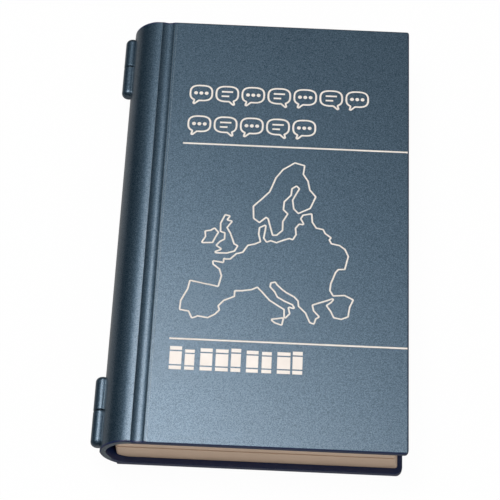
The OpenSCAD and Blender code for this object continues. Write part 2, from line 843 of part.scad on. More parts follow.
module display_case() {
    lid_boss_wall = 0.8;
    color("#c8b48c") difference() {
        union() {
            difference() {
                block_half(face_z, front_board_z, face_z + part_step, front_board_z);
                block_hollow(glass_z, book_t);
            }
            for (at = lid_screws_at)
                translate([at.x, at.y, glass_z - merge])
                    cylinder(r = boss_r + lid_boss_wall, h = lid_boss_z - glass_z + merge);
            for (at = lcd_screws_at)
                translate([at.x, at.y, glass_z - merge])
                    cylinder(r = small_boss_r, h = lcd_board_z - glass_z + merge);
        }
        translate([block_mid, 0, 0]) {
            slab(0, book_t) round_plate([view_w, view_l], 1);
            slab(0, window_z + window_t)
                round_plate([view_w, view_l] + 2 * (window_border + window_clear) * [1, 1], 2);
        }
        for (at = lid_screws_at) translate([at.x, at.y, 0]) {
            cylinder(r = screw_r + screw_clear, h = book_t);
            cylinder(r = boss_r + screw_clear, h = lid_seat_z);
        }
        for (at = lcd_screws_at)
            translate([at.x, at.y, glass_z]) cylinder(r = small_screw_r, h = book_t);
        wire_way(5, 0.5, 0);
    }
}

module display_window() {
    color("#20262e", 0.6) translate([block_mid, 0, 0])
        slab(window_z, window_z + window_t)
            round_plate([view_w, view_l] + 2 * window_border * [1, 1], 1.9);
}

module lcd_panel() {
    color("#8f9a86") translate([block_mid - glass_w / 2, -glass_l / 2, glass_z]) {
        cube([glass_w, glass_l, front_glass_t]);
        translate([0, 0, front_glass_t]) cube([glass_w - ledge_w, glass_l, rear_glass_t]);
    }
}

module lcd_frame() {
    gap = 0.2;
    color("#2a2c30") translate([block_mid, 0, 0]) difference() {
        slab(glass_z, lcd_board_z)
            round_plate([glass_w, glass_l] + 2 * (frame_wall + gap) * [1, 1], 1);
        slab(glass_z - 1, lcd_board_z + 1) square([glass_w + 2 * gap, glass_l + 2 * gap], center = true);
    }
}

module contact_strip() {
    inset = 1;
    color("#3b3b3f")
        translate([block_mid + (glass_w - ledge_w - strip_w) / 2, inset - glass_l / 2, strip_z])
            cube([strip_w, glass_l - 2 * inset, strip_h]);
}

module lcd_board() {
    color("#2f6b4a") difference() {
        translate([block_mid, 0, 0]) slab(lcd_board_z, lcd_board_z + lcd_board_t)
            round_plate([glass_w + 2 * lcd_board_side, lcd_board_l], 1.5);
        for (at = lcd_screws_at)
            translate([at.x, at.y, 0]) cylinder(r = small_screw_r + screw_clear, h = book_t);
    }
}

module lcd_screws() {
    color("#8b8f94") for (at = lcd_screws_at)
        translate([at.x, at.y, lcd_board_z + lcd_board_t]) mirror([0, 0, 1])
            screw(small_screw_r, lcd_board_t + strip_h, small_head_r, small_head_h);
}

module lid_screws() {
    color("#8b8f94") for (at = lid_screws_at)
        translate([at.x, at.y, lid_seat_z]) screw(screw_r, lid_screw_l, head_r, head_h);
}

module lid_bumpers() {
    color("#26282c") for (at = lid_screws_at)
        translate([at.x, at.y, half_t]) cylinder(r = boss_r, h = bumper_t);
}

// Two hollow pins, pressed into the lid's barrels
module hinge_pins() {
    color("#9ea2a6") difference() {
        both_ends() difference() {
            axis_rod(pin_r, pin_y0, pin_y1);
            axis_rod(pin_bore_r, pin_y0 - 1, pin_y1 + 1);
        }
        wire_way(4, 0, 2);
    }
}

module in_frame() {
    translate([frame_x, 0, 0]) children();
}

in_frame() back_cover();
in_frame() keyboard_case();
in_frame() key_panel();
in_frame() keypad_mat();
in_frame() main_board();
in_frame() logic_chips();
in_frame() coin_cells();
in_frame() cell_contacts();
in_frame() battery_door();
in_frame() case_screws();
in_frame() board_screws();
in_frame() hinge_wires();
in_frame() front_cover();
in_frame() display_case();
in_frame() display_window();
in_frame() lcd_panel();
in_frame() lcd_frame();
in_frame() contact_strip();
in_frame() lcd_board();
in_frame() lcd_screws();
in_frame() lid_screws();
in_frame() lid_bumpers();
in_frame() hinge_pins();
for (key = keys)
    in_frame() key_shape(key);
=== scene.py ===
import math

import bmesh
import bpy
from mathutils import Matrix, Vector


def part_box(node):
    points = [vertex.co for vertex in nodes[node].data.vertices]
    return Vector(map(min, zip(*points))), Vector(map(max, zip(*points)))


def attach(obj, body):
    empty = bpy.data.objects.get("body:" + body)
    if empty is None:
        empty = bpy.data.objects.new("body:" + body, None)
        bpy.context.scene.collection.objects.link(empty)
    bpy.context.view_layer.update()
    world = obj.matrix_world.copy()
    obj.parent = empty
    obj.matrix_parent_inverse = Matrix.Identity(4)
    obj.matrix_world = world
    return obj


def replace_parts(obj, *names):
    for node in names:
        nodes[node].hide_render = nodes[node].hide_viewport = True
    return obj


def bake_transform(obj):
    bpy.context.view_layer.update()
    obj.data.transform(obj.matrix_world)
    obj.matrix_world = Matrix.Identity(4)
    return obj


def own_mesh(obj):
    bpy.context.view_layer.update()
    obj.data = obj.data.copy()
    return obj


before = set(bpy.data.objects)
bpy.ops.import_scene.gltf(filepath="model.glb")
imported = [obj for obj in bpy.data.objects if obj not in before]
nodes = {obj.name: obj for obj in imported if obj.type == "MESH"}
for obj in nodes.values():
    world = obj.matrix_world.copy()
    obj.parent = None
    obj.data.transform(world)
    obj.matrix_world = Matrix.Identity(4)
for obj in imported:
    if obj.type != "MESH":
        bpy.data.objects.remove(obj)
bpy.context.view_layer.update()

mm = 0.001
weld = 0.001 * mm        # corners nearer than this are merged

# the lid's board: its outer edges and its face, and the back of the spine
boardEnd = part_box("front_cover")[1]
coverWidth = 84.8 * mm
spineBack = boardEnd.x - coverWidth
print("frame loaded,", len(nodes), "nodes")


# #rrggbb as Blender's linear colour
def linear(code):
    parts = [int(code[i:i + 2], 16) / 255 for i in (1, 3, 5)]
    return [c / 12.92 if c <= 0.04045 else ((c + 0.055) / 1.055) ** 2.4 for c in parts] + [1]


def addNode(tree, kind, inputs=None, **settings):
    node = tree.nodes.new(kind)
    for name, value in settings.items():
        setattr(node, name, value)
    for name, value in (inputs or {}).items():
        node.inputs[name].default_value = value
    return node


def addObject(name, mesh):
    piece = bpy.data.objects.new(name, mesh)
    bpy.context.scene.collection.objects.link(piece)
    return piece


# a place on the lid's board, from the back of the spine and from the middle of its length
def onBoard(across, along):
    return Vector((spineBack + across * mm, along * mm, boardEnd.z))


camera = {
    "lens": 132.47, "sensor": 36, "clipStart": 0.01,
    "place": (0.00267, -0.263664, 0.482767),
    "turn": (28.715, -0.7448, 2.4178),
}


def makeCamera():
    lens = bpy.data.cameras.new("camera")
    lens.lens = camera["lens"]
    lens.sensor_width = camera["sensor"]
    lens.clip_start = camera["clipStart"]
    holder = bpy.data.objects.new("camera", lens)
    holder.location = camera["place"]
    holder.rotation_euler = [math.radians(a) for a in camera["turn"]]
    bpy.context.scene.collection.objects.link(holder)
    bpy.context.scene.camera = holder


floor = {
    "size": 6.0, "height": -0.1 * mm, "colour": "#f4f4f4", "seenWhite": 0.97,
    # what a gloss shows of it: the sheet round the book, then the dim room
    "gloss": 0.32, "glossFar": 0.03, "sheet": (0.10, 0.28),
}


def makeFloor():
    mesh = bpy.data.meshes.new("floor")
    half, height = floor["size"] / 2, floor["height"]
    corners = [(x * half, y * half, height) for x, y in ((-1, -1), (1, -1), (1, 1), (-1, 1))]
    mesh.from_pydata(corners, [], [(0, 1, 2, 3)])
    piece = addObject("floor", mesh)
    material = bpy.data.materials.new("paper")
    material.use_nodes = True
    tree = material.node_tree
    link = tree.links.new
    tree.nodes.clear()
    matte = addNode(tree, "ShaderNodeBsdfDiffuse", {"Color": linear(floor["colour"])})
    white = addNode(tree, "ShaderNodeEmission")
    path = addNode(tree, "ShaderNodeLightPath")
    place = addNode(tree, "ShaderNodeTexCoord")
    reach = addNode(tree, "ShaderNodeVectorMath", operation="LENGTH")
    near, far = floor["sheet"]
    sheet = addNode(tree, "ShaderNodeMapRange", {
        "From Min": near, "From Max": far, "To Min": floor["gloss"], "To Max": floor["glossFar"]})
    strength = addNode(tree, "ShaderNodeMapRange", {"To Min": 1.0})
    direct = addNode(tree, "ShaderNodeMath", {1: floor["seenWhite"]}, operation="MULTIPLY")
    share = addNode(tree, "ShaderNodeMath", operation="MAXIMUM")
    mix = addNode(tree, "ShaderNodeMixShader")
    # clear from below, so that the underside can be looked at
    side = addNode(tree, "ShaderNodeNewGeometry")
    clear = addNode(tree, "ShaderNodeBsdfTransparent")
    oneWay = addNode(tree, "ShaderNodeMixShader")
    output = addNode(tree, "ShaderNodeOutputMaterial")
    link(place.outputs["Object"], reach.inputs[0])
    link(reach.outputs["Value"], sheet.inputs["Value"])
    link(path.outputs["Is Glossy Ray"], strength.inputs["Value"])
    link(sheet.outputs[0], strength.inputs["To Max"])
    link(strength.outputs[0], white.inputs["Strength"])
    link(seenRays(tree, path), direct.inputs[0])
    link(direct.outputs[0], share.inputs[0])
    link(path.outputs["Is Glossy Ray"], share.inputs[1])
    link(share.outputs[0], mix.inputs[0])
    link(matte.outputs[0], mix.inputs[1])
    link(white.outputs[0], mix.inputs[2])
    link(side.outputs["Backfacing"], oneWay.inputs[0])
    link(mix.outputs[0], oneWay.inputs[1])
    link(clear.outputs[0], oneWay.inputs[2])
    link(oneWay.outputs[0], output.inputs["Surface"])
    mesh.materials.append(material)


# 1 for what the camera sees, directly or in a gloss or through glass
def seenRays(tree, path):
    link = tree.links.new
    first = addNode(tree, "ShaderNodeMath", operation="MAXIMUM")
    second = addNode(tree, "ShaderNodeMath", operation="MAXIMUM")
    link(path.outputs["Is Camera Ray"], first.inputs[0])
    link(path.outputs["Is Glossy Ray"], first.inputs[1])
    link(first.outputs[0], second.inputs[0])
    link(path.outputs["Is Transmission Ray"], second.inputs[1])
    return second.outputs[0]


light = {
    "world": 0.25, "horizon": 0.0, "overhead": 0.34, "skyFrom": 0.3,
    # name: place, size, watts
    "lamps": {
        "window": ((-0.183, 0.121, 0.80), 0.50, 5.0),
        "fill": ((0.55, -0.50, 0.55), 0.60, 1.5),
    },
}


def makeLight():
    world = bpy.data.worlds.new("studio")
    world.use_nodes = True
    tree = world.node_tree
    link = tree.links.new
    tree.nodes.clear()
    path = addNode(tree, "ShaderNodeLightPath")
    way = addNode(tree, "ShaderNodeTexCoord")
    split = addNode(tree, "ShaderNodeSeparateXYZ")
    # a gloss shows it dark at the horizon and paler overhead; behind the object it is white
    seen = addNode(tree, "ShaderNodeMapRange", {
        "From Min": light["skyFrom"], "To Min": light["horizon"], "To Max": light["overhead"]})
    strength = addNode(tree, "ShaderNodeMapRange", {"To Min": light["world"]})
    behind = addNode(tree, "ShaderNodeMath", operation="MAXIMUM")
    sky = addNode(tree, "ShaderNodeBackground", {"Color": (1, 1, 1, 1)})
    output = addNode(tree, "ShaderNodeOutputWorld")
    link(way.outputs["Generated"], split.inputs[0])
    link(split.outputs["Z"], seen.inputs["Value"])
    link(seen.outputs[0], behind.inputs[0])
    link(path.outputs["Is Camera Ray"], behind.inputs[1])
    link(seenRays(tree, path), strength.inputs["Value"])
    link(behind.outputs[0], strength.inputs["To Max"])
    link(strength.outputs[0], sky.inputs["Strength"])
    link(sky.outputs[0], output.inputs["Surface"])
    bpy.context.scene.world = world
    for name, (place, size, watts) in light["lamps"].items():
        lamp = bpy.data.lights.new(name, "AREA")
        lamp.size = size
        lamp.energy = watts
        holder = bpy.data.objects.new(name, lamp)
        holder.location = place
        aim = Vector((0, 0, 0)) - Vector(place)
        holder.rotation_euler = aim.to_track_quat("-Z", "Y").to_euler()
        bpy.context.scene.collection.objects.link(holder)
    bpy.context.scene.view_settings.view_transform = "Standard"


makeCamera()
makeFloor()
makeLight()
print("camera, floor and light made")


def newGroup(name, inputs, outputs):
    tree = bpy.data.node_groups.new(name, "ShaderNodeTree")
    for label, value in inputs.items():
        socket = tree.interface.new_socket(label, in_out="INPUT", socket_type="NodeSocketFloat")
        socket.default_value = value
    for label in outputs:
        tree.interface.new_socket(label, in_out="OUTPUT", socket_type="NodeSocketFloat")
    return tree, tree.nodes.new("NodeGroupInput"), tree.nodes.new("NodeGroupOutput")


# what a finish has unless its own dictionary says otherwise
plainFinish = {
    "metal": 0, "coat": 0, "coatRough": 0.1, "roughSpread": 0.06, "soften": 0.12 * mm,
    "grain": 3000, "grainDepth": 0.004 * mm, "cloud": 60, "wearAndSheen": 1, "wearAndSheenRadius": 0.3 * mm,
}
noises = {
    "grain": {"Detail": 2.0, "Roughness": 0.6},
    "cloud": {"Detail": 4.0, "Roughness": 0.65},
    "wearAndSheen": {"Scale": 400.0, "Detail": 3.0},
    # the part of a cloud's range that the two colours and the two gloss levels are spread over
    "colourFrom": 0.35, "colourTo": 0.65, "glossFrom": 0.3, "glossTo": 0.7,
}


# moulded or sprayed surface: a fine grain and a slow unevenness
def makeGrainGroup():
    tree, given, made = newGroup("surfaceGrain", {
        "Grain Scale": plainFinish["grain"], "Cloud Scale": plainFinish["cloud"]}, ["Grain", "Cloud"])
    link = tree.links.new
    place = addNode(tree, "ShaderNodeTexCoord")
    grain = addNode(tree, "ShaderNodeTexNoise", noises["grain"])
    cloud = addNode(tree, "ShaderNodeTexNoise", noises["cloud"])
    for noise, name in ((grain, "Grain"), (cloud, "Cloud")):
        link(place.outputs["Object"], noise.inputs["Vector"])
        link(given.outputs[name + " Scale"], noise.inputs["Scale"])
        link(noise.outputs["Fac"], made.inputs[name])
    return tree


# metal flakes in paint: each small cell has its own brightness
def makeFlakeGroup():
    tree, given, made = newGroup("paintFlakes", {"Flakes per Metre": 3000, "Contrast": 1}, ["Flake"])
    link = tree.links.new
    place = addNode(tree, "ShaderNodeTexCoord")
    cells = addNode(tree, "ShaderNodeTexVoronoi")
    split = addNode(tree, "ShaderNodeSeparateColor")
    centre = addNode(tree, "ShaderNodeMath", {1: 0.5}, operation="SUBTRACT")
    scale = addNode(tree, "ShaderNodeMath", operation="MULTIPLY")
    back = addNode(tree, "ShaderNodeMath", {1: 0.5}, operation="ADD", use_clamp=True)
    link(place.outputs["Object"], cells.inputs["Vector"])
    link(given.outputs["Flakes per Metre"], cells.inputs["Scale"])
    link(cells.outputs["Color"], split.inputs["Color"])
    link(split.outputs["Red"], centre.inputs[0])
    link(centre.outputs[0], scale.inputs[0])
    link(given.outputs["Contrast"], scale.inputs[1])
    link(scale.outputs[0], back.inputs[0])
    link(back.outputs[0], made.inputs["Flake"])
    return tree


# a mask of the edges, broken up by noise: where handling rubs a finish, and where the lighter worn colour
# also stands in as a painted highlight along the edges
def makeWearAndSheenGroup():
    tree, given, made = newGroup("edgeWearAndSheen", {
        "Radius": plainFinish["wearAndSheenRadius"], "Amount": plainFinish["wearAndSheen"]}, ["Worn"])
    link = tree.links.new
    place = addNode(tree, "ShaderNodeTexCoord")
    bevel = addNode(tree, "ShaderNodeBevel", samples=6)
    flat = addNode(tree, "ShaderNodeNewGeometry")
    dot = addNode(tree, "ShaderNodeVectorMath", operation="DOT_PRODUCT")
    turn = addNode(tree, "ShaderNodeMath", {0: 1.0}, operation="SUBTRACT")
    noise = addNode(tree, "ShaderNodeTexNoise", noises["wearAndSheen"])
    broken = addNode(tree, "ShaderNodeMath", operation="MULTIPLY")
    wornAndSheen = addNode(tree, "ShaderNodeMath", operation="MULTIPLY", use_clamp=True)
    link(given.outputs["Radius"], bevel.inputs["Radius"])
    link(bevel.outputs["Normal"], dot.inputs[0])
    link(flat.outputs["Normal"], dot.inputs[1])
    link(dot.outputs["Value"], turn.inputs[1])
    link(place.outputs["Object"], noise.inputs["Vector"])
    link(turn.outputs[0], broken.inputs[0])
    link(noise.outputs["Fac"], broken.inputs[1])
    link(broken.outputs[0], wornAndSheen.inputs[0])
    link(given.outputs["Amount"], wornAndSheen.inputs[1])
    link(wornAndSheen.outputs[0], made.inputs["Worn"])
    return tree


# 1 on the covers' outer sides, which are sprayed; their edges and insides stay bare plastic
def makePaintedGroup():
    tree, given, made = newGroup("paintedSide", {
        "Top": 0, "Bottom": 0, "End": 0, "Axis X": 0, "Axis Z": 0, "Radius": 0,
        "Groove Depth": 0, "Groove End": 0, "Seam": 0, "Heel X": 0, "Rim Radius": 0}, ["Painted"])
    link = tree.links.new
    place = addNode(tree, "ShaderNodeTexCoord")
    split = addNode(tree, "ShaderNodeSeparateXYZ")
    link(place.outputs["Object"], split.inputs[0])

    def step(operation, first, second=None):
        node = addNode(tree, "ShaderNodeMath", operation=operation)
        link(first, node.inputs[0])
        if second is not None:
            link(second, node.inputs[1])
        return node.outputs[0]

    top = step("GREATER_THAN", split.outputs["Z"], given.outputs["Top"])
    grooveFloor = step("SUBTRACT", given.outputs["Top"], given.outputs["Groove Depth"])
    inGroove = step("MULTIPLY", step("GREATER_THAN", split.outputs["Z"], grooveFloor), step(
        "MULTIPLY", step("LESS_THAN", split.outputs["X"], given.outputs["Groove End"]),
        step("LESS_THAN", step("ABSOLUTE", split.outputs["Y"]), given.outputs["End"])))
    above = step("MAXIMUM", top, inGroove)
    below = step("LESS_THAN", split.outputs["Z"], given.outputs["Bottom"])
    reachX = step("SUBTRACT", split.outputs["X"], given.outputs["Axis X"])
    reachZ = step("SUBTRACT", split.outputs["Z"], given.outputs["Axis Z"])
    reach = step("SQRT", step("ADD", step("MULTIPLY", reachX, reachX),
                              step("MULTIPLY", reachZ, reachZ)))
    spine = step("LESS_THAN", split.outputs["X"], given.outputs["Axis X"])
    outside = step("GREATER_THAN", reach, given.outputs["Radius"])
    # the shell's ends are sprayed over their upper half and a little way below it, inside a navy rim
    # along their outer edge
    atEnd = step("GREATER_THAN", step("ABSOLUTE", split.outputs["Y"]), given.outputs["End"])
    onEnd = step("MULTIPLY", step("LESS_THAN", reach, given.outputs["Rim Radius"]), step(
        "MAXIMUM", step("GREATER_THAN", split.outputs["Z"], given.outputs["Axis Z"]),
        step("LESS_THAN", split.outputs["X"], given.outputs["Heel X"])))
    shell = step("MAXIMUM", step("GREATER_THAN", outside, atEnd), step("MULTIPLY", atEnd, onEnd))
    # a band each side of the seam stays navy: painted shade of the gap between the two halves
    outsideSeamShade = step("MAXIMUM", step("GREATER_THAN", step("ABSOLUTE", reachZ), given.outputs["Seam"]),
                   step("GREATER_THAN", reach, given.outputs["Axis Z"]))
    onSpine = step("MULTIPLY", step("MULTIPLY", spine, outsideSeamShade), shell)
    link(step("MAXIMUM", onSpine, step("MAXIMUM", above, below)), made.inputs["Painted"])
    return tree


grainGroup = makeGrainGroup()
flakeGroup = makeFlakeGroup()
wearAndSheenGroup = makeWearAndSheenGroup()
paintedGroup = makePaintedGroup()


def useGroup(tree, group, inputs):
    node = addNode(tree, "ShaderNodeGroup", node_tree=group)
    for name, value in inputs.items():
        node.inputs[name].default_value = value
    return node


def mixColour(tree, share, first, second):
    mix = addNode(tree, "ShaderNodeMix", data_type="RGBA")
    tree.links.new(share, mix.inputs["Factor"])
    for socket, value in ((mix.inputs[6], first), (mix.inputs[7], second)):
        if isinstance(value, str):
            socket.default_value = linear(value)
        else:
            tree.links.new(value, socket)
    return mix.outputs[2]


def between(tree, value, low, high, newLow, newHigh):
    remap = addNode(tree, "ShaderNodeMapRange",
                    {"From Min": low, "From Max": high, "To Min": newLow, "To Max": newHigh})
    tree.links.new(value, remap.inputs["Value"])
    return remap.outputs[0]


# gloss that varies with the grain group's cloud
def unevenGloss(tree, grain, rough, spread, shader):
    gloss = between(tree, grain.outputs["Cloud"], noises["glossFrom"], noises["glossTo"],
                    rough - spread, rough + spread)
    tree.links.new(gloss, shader.inputs["Roughness"])


# a solid finish: two near colours in clouds, a grain, uneven gloss, and lighter edges that are partly
# rubbed wear and partly a painted highlight
def makeFinish(name, own):
    look = dict(plainFinish, **own)
    material = bpy.data.materials.new(name)
    material.use_nodes = True
    tree = material.node_tree
    link = tree.links.new
    shader = tree.nodes["Principled BSDF"]
    shader.inputs["Metallic"].default_value = look["metal"]
    shader.inputs["Coat Weight"].default_value = look["coat"]
    shader.inputs["Coat Roughness"].default_value = look["coatRough"]
    grain = useGroup(tree, grainGroup, {"Grain Scale": look["grain"], "Cloud Scale": look["cloud"]})
    cloud = between(tree, grain.outputs["Cloud"], noises["colourFrom"], noises["colourTo"], 0, 1)
    colour = mixColour(tree, cloud, look["colour"], look["shade"])
    if "flake" in look:
        flake = useGroup(tree, flakeGroup, {
            "Flakes per Metre": look["flakeScale"], "Contrast": look["flake"]})
        colour = mixColour(tree, flake.outputs["Flake"], colour, look["flakeColour"])
    wearAndSheen = useGroup(tree, wearAndSheenGroup, {"Radius": look["wearAndSheenRadius"], "Amount": look["wearAndSheen"]})
    colour = mixColour(tree, wearAndSheen.outputs["Worn"], colour, look["wornAndSheen"])
    link(colour, shader.inputs["Base Color"])
    unevenGloss(tree, grain, look["rough"], look["roughSpread"], shader)
    soften = addNode(tree, "ShaderNodeBevel", {"Radius": look["soften"]}, samples=4)
    bump = addNode(tree, "ShaderNodeBump", {"Strength": 1.0, "Distance": look["grainDepth"]})
    link(grain.outputs["Grain"], bump.inputs["Height"])
    link(soften.outputs["Normal"], bump.inputs["Normal"])
    link(bump.outputs["Normal"], shader.inputs["Normal"])
    return material


coverPaint = {
    "colour": "#103549", "shade": "#16384b", "metal": 0.72, "rough": 0.39, "roughSpread": 0.02,
    "coat": 1.0, "coatRough": 0.27, "soften": 0.4 * mm,
    "flake": 1.4, "flakeScale": 6200, "flakeColour": "#496072",
    # the light worn colour, at six times the usual strength, is mostly a painted highlight along the
    # covers' sprayed edges
    "grain": 2400, "grainDepth": 0.035 * mm, "cloud": 30, "wornAndSheen": "#8ea3b0", "wearAndSheen": 6,
}
coverPlastic = {
    "colour": "#13244c",
    # where the spray ends: below a face, in the groove, at the seam, where a bare band stands as painted
    # shade of the gap between the halves, and on the spine's ends
    "skin": 0.05 * mm, "grooveDepth": 0.75 * mm, "grooveEnd": 13.8 * mm,
    "seamShade": 0.3 * mm, "heel": 3 * mm, "rim": 0.35 * mm, "end": 0.5 * mm,
}


# navy plastic, sprayed metallic blue on its outer sides
def makeCoverMaterial():
    material = makeFinish("cover_paint", coverPaint)
    tree = material.node_tree
    link = tree.links.new
    shader = tree.nodes["Principled BSDF"]
    radius = boardEnd.z / 2
    painted = useGroup(tree, paintedGroup, {
        "Top": boardEnd.z - coverPlastic["skin"], "Bottom": coverPlastic["skin"],
        "End": boardEnd.y - coverPlastic["end"], "Axis X": spineBack + radius, "Axis Z": radius,
        "Radius": radius - coverPlastic["skin"], "Groove Depth": coverPlastic["grooveDepth"],
        "Groove End": spineBack + coverPlastic["grooveEnd"], "Seam": coverPlastic["seamShade"],
        "Heel X": spineBack + coverPlastic["heel"],
        "Rim Radius": radius - coverPlastic["rim"]}).outputs[0]
    sprayed = shader.inputs["Base Color"].links[0].from_socket
    link(mixColour(tree, painted, coverPlastic["colour"], sprayed), shader.inputs["Base Color"])
    link(between(tree, painted, 0, 1, 0, coverPaint["metal"]), shader.inputs["Metallic"])
    link(between(tree, painted, 0, 1, 0, coverPaint["coat"]), shader.inputs["Coat Weight"])
    return material


caseCream = {
    "colour": "#d8bda5", "shade": "#d3b8a0", "rough": 0.5, "roughSpread": 0.05,
    "grain": 1800, "grainDepth": 0.01 * mm, "cloud": 45, "wornAndSheen": "#e0cfba", "wearAndSheen": 0.5,
}
keyCream = {
    "colour": "#e4dccb", "shade": "#dcd3bf", "rough": 0.42, "roughSpread": 0.05,
    "grain": 1600, "grainDepth": 0.012 * mm, "cloud": 120, "wornAndSheen": "#f0eadd", "wearAndSheen": 0.6,
}
keyBlue = dict(keyCream, colour="#5f7b98", shade="#587390", wornAndSheen="#86a0b8")
panelFilm = {
    "colour": "#2b323d", "shade": "#303843", "rough": 0.38, "roughSpread": 0.04,
    "grain": 2600, "grainDepth": 0.008 * mm, "cloud": 50, "wornAndSheen": "#4b5563", "wearAndSheen": 0.3,
}
rubberGrey = {
    "colour": "#6b6f74", "shade": "#62666b", "rough": 0.75, "grain": 1500, "grainDepth": 0.01 * mm,
    "cloud": 80, "wornAndSheen": "#85898e",
}
rubberBlack = dict(rubberGrey, colour="#1d1e21", shade="#232427", wornAndSheen="#3c3d40")
framePlastic = dict(rubberBlack, rough=0.5)
chipResin = dict(rubberBlack, rough=0.55, grain=4000)
plated = {
    "colour": "#b9bcbf", "shade": "#a7aaae", "metal": 1.0, "rough": 0.28, "roughSpread": 0.1,
    "grain": 5000, "grainDepth": 0.002 * mm, "cloud": 200, "wornAndSheen": "#d5d7d9",
}
rolledSteel = dict(plated, colour="#8f9296", shade="#7d8084", rough=0.34)
brass = dict(plated, colour="#c2a05a", shade="#b48f49", wornAndSheen="#dcc080")
inkWhite = {
    "colour": "#fdf4ec", "shade": "#f6ece3", "rough": 0.55, "grain": 6000, "grainDepth": 0.003 * mm,
    "cloud": 150, "wornAndSheen": "#fdf4ec", "wearAndSheen": 0,
}
inkDark = dict(inkWhite, colour="#2c3440", shade="#343d4a", wornAndSheen="#2c3440")
wireJacket = dict(rubberBlack, rough=0.45)
solderMask = {
    "colour": "#1f5a3c", "shade": "#236744", "rough": 0.35, "cloud": 70, "wornAndSheen": "#b08d57", "wearAndSheen": 0.7,
}
tracks = {
    "colour": "#3f8a5f", "blocks": 260.0, "lines": 22.0, "edge": (0.2, 0.5), "strength": 0.6,
}


# green solder mask over copper tracks
def makeBoardMaterial():
    material = makeFinish("solder_mask", solderMask)
    tree = material.node_tree
    link = tree.links.new
    shader = tree.nodes["Principled BSDF"]
    under = shader.inputs["Base Color"].links[0].from_socket
    place = addNode(tree, "ShaderNodeTexCoord")
    blocks = addNode(tree, "ShaderNodeTexVoronoi", {"Scale": tracks["blocks"]},
                     distance="MANHATTAN", feature="F2")
    line = addNode(tree, "ShaderNodeMath", {1: tracks["lines"]}, operation="MULTIPLY")
    wave = addNode(tree, "ShaderNodeMath", operation="SINE")
    share = between(tree, wave.outputs[0], *tracks["edge"], 0, tracks["strength"])
    link(place.outputs["Object"], blocks.inputs["Vector"])
    link(blocks.outputs["Distance"], line.inputs[0])
    link(line.outputs[0], wave.inputs[0])
    link(mixColour(tree, share, under, tracks["colour"]), shader.inputs["Base Color"])
    return material


displayLook = {
    "pixel": 0.55 * mm, "gap": 0.16, "colour": "#8b957f", "dot": "#7d8772",
    "rough": 0.42, "roughSpread": 0.04, "grain": 900, "cloud": 25,
}


# an unlit liquid crystal: grey green, with its faint grid of dots
def makeDisplayMaterial():
    material = bpy.data.materials.new("liquid_crystal")
    material.use_nodes = True
    tree = material.node_tree
    link = tree.links.new
    shader = tree.nodes["Principled BSDF"]
    grain = useGroup(tree, grainGroup, {
        "Grain Scale": displayLook["grain"], "Cloud Scale": displayLook["cloud"]})
    place = addNode(tree, "ShaderNodeTexCoord")
    split = addNode(tree, "ShaderNodeSeparateXYZ")
    link(place.outputs["Object"], split.inputs[0])
    cells = []
    for axis in ("X", "Y"):
        step = addNode(tree, "ShaderNodeMath", {1: displayLook["pixel"]}, operation="DIVIDE")
        part = addNode(tree, "ShaderNodeMath", operation="FRACT")
        solid = addNode(tree, "ShaderNodeMath", {1: displayLook["gap"]}, operation="GREATER_THAN")
        link(split.outputs[axis], step.inputs[0])
        link(step.outputs[0], part.inputs[0])
        link(part.outputs[0], solid.inputs[0])
        cells.append(solid.outputs[0])
    dot = addNode(tree, "ShaderNodeMath", operation="MULTIPLY")
    link(cells[0], dot.inputs[0])
    link(cells[1], dot.inputs[1])
    link(mixColour(tree, dot.outputs[0], displayLook["colour"], displayLook["dot"]),
                   shader.inputs["Base Color"])
    unevenGloss(tree, grain, displayLook["rough"], displayLook["roughSpread"], shader)
    return material


windowLook = {
    "colour": "#f2f5f5", "ior": 1.49, "rough": 0.0425, "roughSpread": 0.0075, "grain": 2000, "cloud": 35,
}


# clear acrylic with faint smears
def makeWindowMaterial():
    material = bpy.data.materials.new("clear_acrylic")
    material.use_nodes = True
    tree = material.node_tree
    shader = tree.nodes["Principled BSDF"]
    shader.inputs["Base Color"].default_value = linear(windowLook["colour"])
    shader.inputs["Transmission Weight"].default_value = 1.0
    shader.inputs["IOR"].default_value = windowLook["ior"]
    grain = useGroup(tree, grainGroup, {
        "Grain Scale": windowLook["grain"], "Cloud Scale": windowLook["cloud"]})
    unevenGloss(tree, grain, windowLook["rough"], windowLook["roughSpread"], shader)
    return material


coverMat = makeCoverMaterial()
creamMat = makeFinish("cream_case", caseCream)
keyMat = makeFinish("key_cream", keyCream)
keyBlueMat = makeFinish("key_blue", keyBlue)
steelMat = makeFinish("plated_steel", plated)
boardMat = makeBoardMaterial()
inkMat = makeFinish("white_ink", inkWhite)
darkInkMat = makeFinish("dark_ink", inkDark)
wireMat = makeFinish("wire_jacket", wireJacket)
frameMat = makeFinish("frame_plastic", framePlastic)

nodeFinish = {
    "front_cover": coverMat,
    "back_cover": coverMat,
    "battery_door": coverMat,
    "keyboard_case": creamMat,
    "display_case": creamMat,
    "key_panel": makeFinish("panel_film", panelFilm),
    "keypad_mat": makeFinish("mat_rubber", rubberGrey),
    "main_board": boardMat,
    "lcd_board": boardMat,
    "logic_chips": makeFinish("chip_resin", chipResin),
    "coin_cells": steelMat,
    "cell_contacts": makeFinish("sprung_brass", brass),
    "case_screws": steelMat,
    "board_screws": steelMat,
    "lcd_screws": steelMat,
    "lid_screws": steelMat,
    "hinge_pins": makeFinish("rolled_steel", rolledSteel),
    "hinge_wires": wireMat,
    "display_window": makeWindowMaterial(),
    "lcd_panel": makeDisplayMaterial(),
    "lcd_frame": frameMat,
    "contact_strip": makeFinish("layered_rubber", rubberBlack),
    "lid_bumpers": makeFinish("bumper_rubber", dict(rubberBlack, rough=0.8)),
}
functionKeys = ["menu", "back", "language", "clear", "enter"]
keyNodes = [name for name in nodes if name.startswith("key_") and name != "key_panel"]


